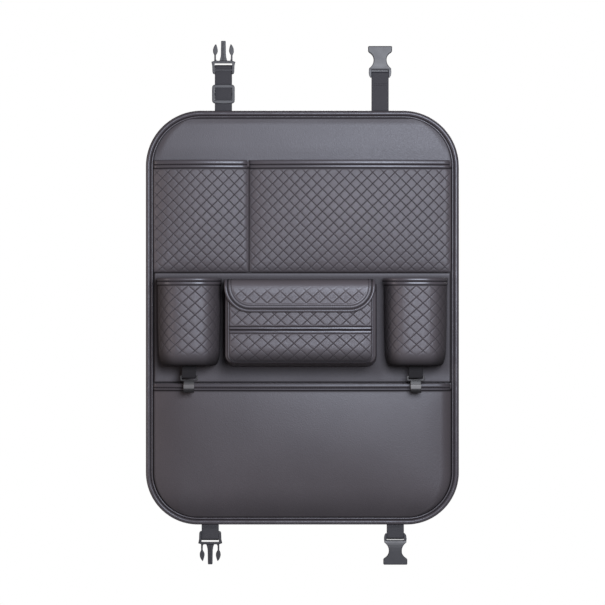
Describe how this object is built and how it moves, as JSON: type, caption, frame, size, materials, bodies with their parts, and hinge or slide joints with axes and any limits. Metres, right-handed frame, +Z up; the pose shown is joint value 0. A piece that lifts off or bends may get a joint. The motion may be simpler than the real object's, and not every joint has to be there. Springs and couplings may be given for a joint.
{
  "type": "car seat back organizer",
  "caption": "Stiffened leatherette panel that hangs on a car seat's back, with quilted pockets, cup pockets, a lidded tissue box, bag hooks and buckled straps.",
  "frame": {"origin": "centre of the panel's flat back face", "axes": "+Z up along the panel, +X to the viewer's right, +Y out of the back towards the seat; the pockets face -Y"},
  "size_m": [0.45, 0.0687, 0.7528],
  "materials": {
    "leather": "satin grained leatherette",
    "quilted_leather": "satin leatherette with stitched diamond quilting",
    "trim_leather": "smooth folded binding with a stitch row",
    "lining": "matt non-woven cloth",
    "board": "plain foam board",
    "webbing": "woven polypropylene webbing",
    "plastic": "satin moulded acetal"
  },
  "bodies": {
    "panel": {"back_lining": "lining", "stiffener_board": "board", "front_cover": "leather", "edge_binding": "trim_leather", "upper_left_pocket": "quilted_leather", "upper_left_pocket_hem": "trim_leather", "upper_right_pocket": "quilted_leather", "upper_right_pocket_hem": "trim_leather", "middle_panel": "leather", "lower_pocket": "leather", "lower_pocket_hem": "trim_leather", "left_cup_wall": "quilted_leather", "left_cup_hem": "trim_leather", "left_cup_base": "trim_leather", "right_cup_wall": "quilted_leather", "right_cup_hem": "trim_leather", "right_cup_base": "trim_leather", "tissue_box_gusset": "leather", "tissue_front_upper": "quilted_leather", "tissue_front_lower": "quilted_leather", "tissue_slit_upper_lip": "trim_leather", "tissue_slit_lower_lip": "trim_leather", "tissue_box_piping": "trim_leather", "left_hook_strap": "webbing", "right_hook_strap": "webbing", "top_left_strap": "webbing", "top_right_strap": "webbing", "bottom_left_strap": "webbing", "bottom_right_strap": "webbing"},
    "flap": {"tissue_flap": "quilted_leather", "tissue_flap_piping": "trim_leather"},
    "left_hook": {"left_bag_hook": "plastic"},
    "right_hook": {"right_bag_hook": "plastic"},
    "tri_glide": {"tri_glide": "plastic"},
    "top_left_buckle": {"top_left_male_buckle": "plastic"},
    "top_right_buckle": {"top_right_female_buckle": "plastic"},
    "bottom_left_buckle": {"bottom_left_male_buckle": "plastic"},
    "bottom_right_buckle": {"bottom_right_female_buckle": "plastic"}
  },
  "joints": [
    {"name": "flap_hinge", "type": "hinge", "parent": "panel", "child": "flap", "pos_m": [-0.0037, -0.0078, 0.056], "axis": [-1, 0, 0], "range_deg": [0, 75]},
    {"name": "left_hook_swing", "type": "hinge", "parent": "panel", "child": "left_hook", "pos_m": [-0.162, -0.0368, -0.084], "axis": [1, 0, 0], "range_deg": [-35, 35]},
    {"name": "right_hook_swing", "type": "hinge", "parent": "panel", "child": "right_hook", "pos_m": [0.162, -0.0368, -0.084], "axis": [1, 0, 0], "range_deg": [-35, 35]},
    {"name": "tri_glide_slide", "type": "slide", "parent": "panel", "child": "tri_glide", "axis": [0, 0, 1], "range_m": [-0.008, 0.01]},
    {"name": "top_left_buckle_swivel", "type": "hinge", "parent": "panel", "child": "top_left_buckle", "pos_m": [-0.1135, -0.003, 0.36], "axis": [-1, 0, 0], "range_deg": [0, 60]},
    {"name": "top_right_buckle_swivel", "type": "hinge", "parent": "panel", "child": "top_right_buckle", "pos_m": [0.1117, -0.003, 0.3505], "axis": [1, 0, 0], "range_deg": [-75, 75]},
    {"name": "bottom_left_buckle_swivel", "type": "hinge", "parent": "panel", "child": "bottom_left_buckle", "pos_m": [-0.1325, -0.003, -0.3169], "axis": [-1, 0, 0], "range_deg": [0, 60]},
    {"name": "bottom_right_buckle_swivel", "type": "hinge", "parent": "panel", "child": "bottom_right_buckle", "pos_m": [0.1336, -0.003, -0.3154], "axis": [1, 0, 0], "range_deg": [-75, 75]}
  ]
}
